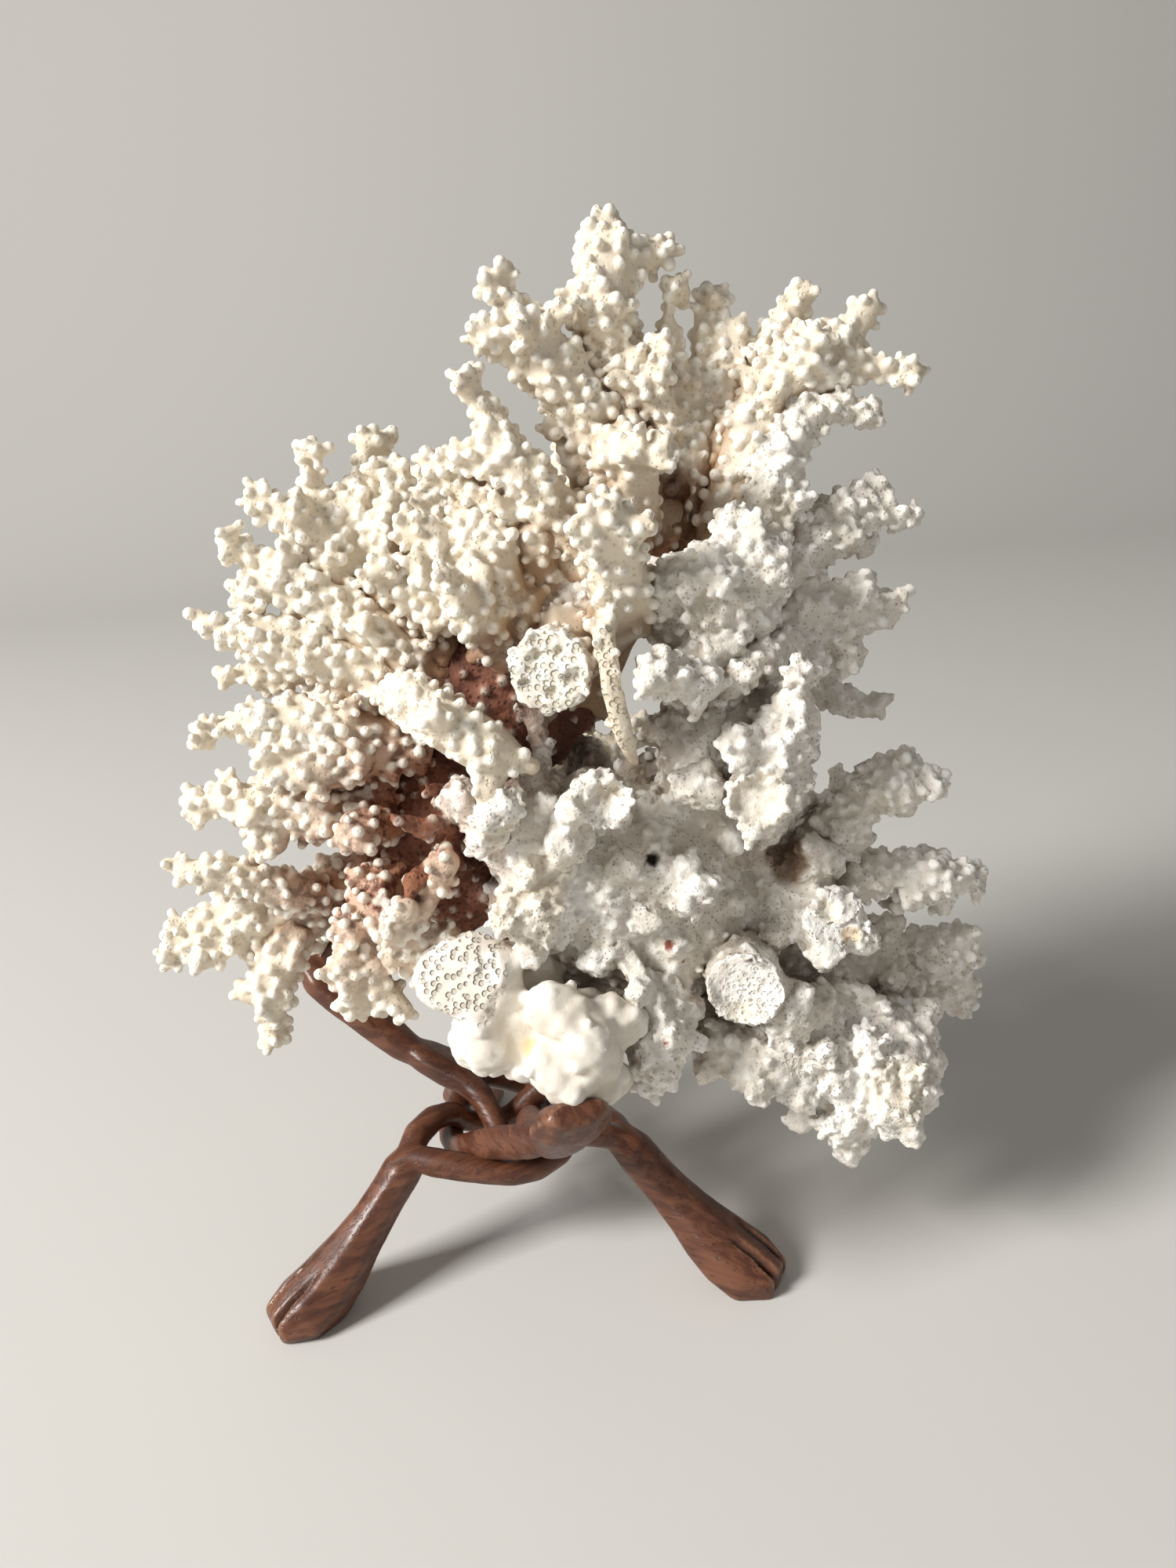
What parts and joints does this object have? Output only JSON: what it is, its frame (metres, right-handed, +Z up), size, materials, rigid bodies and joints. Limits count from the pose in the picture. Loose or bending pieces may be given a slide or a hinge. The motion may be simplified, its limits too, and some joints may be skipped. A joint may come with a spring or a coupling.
{
  "type": "branching coral on a wooden stand",
  "caption": "Bushy branching coral with knobby limbs and an eroded chalky base, resting in a low stand of interlinked carved wooden legs",
  "frame": {"origin": "centre of the object's box, on the table top that the three feet stand on", "axes": "+Z up; -Y towards the front; +X to the right as seen from the front; metres"},
  "size_m": [0.2394, 0.1582, 0.3027],
  "materials": {
    "ivory_coral": "matt cream limestone skeleton, densely covered in small knobs and pores",
    "chalk_coral": "matt chalk-white worn skeleton, pitted, encrusted and broken",
    "rust_core": "matt rust-brown growth over the skeleton, with white dots",
    "rosewood": "smooth carved dark red wood, hand-rubbed satin sheen with pale worn edges"
  },
  "bodies": {
    "root": {"leg_left": "rosewood", "leg_right": "rosewood", "leg_back": "rosewood", "core_brown": "rust_core", "chalk_mass": "chalk_coral", "white_knob_mass": "chalk_coral", "dead_limb_top": "chalk_coral", "dead_limb_right": "chalk_coral", "dead_limb_lower": "chalk_coral", "porcelain_base": "chalk_coral", "hanging_block": "chalk_coral", "lower_right_knob": "chalk_coral", "round_disc_end": "chalk_coral", "right_low_arm": "chalk_coral", "antler_upper": "chalk_coral", "antler_lower": "chalk_coral", "right_finger": "chalk_coral", "back_right": "chalk_coral", "back_low_right": "chalk_coral", "trunk_upper": "ivory_coral", "crown_spire": "ivory_coral", "upper_left_limb": "ivory_coral", "left_shoulder_limb": "ivory_coral", "front_centre_limb": "ivory_coral", "top_fan": "ivory_coral", "right_fan": "ivory_coral", "right_top_limb": "ivory_coral", "left_mass": "ivory_coral", "left_fingers": "ivory_coral", "left_arm_high": "ivory_coral", "left_arm_middle": "ivory_coral", "left_arm_low": "ivory_coral", "left_spur": "ivory_coral", "lower_left_limb": "ivory_coral", "left_hanging_arm": "ivory_coral", "front_cream_limb": "ivory_coral", "hanging_twigs": "ivory_coral", "back_crown": "ivory_coral", "back_upper_left": "ivory_coral", "back_upper_right": "ivory_coral", "back_middle": "ivory_coral", "back_left": "ivory_coral", "back_low": "ivory_coral", "back_low_left": "ivory_coral"}
  },
  "joints": []
}
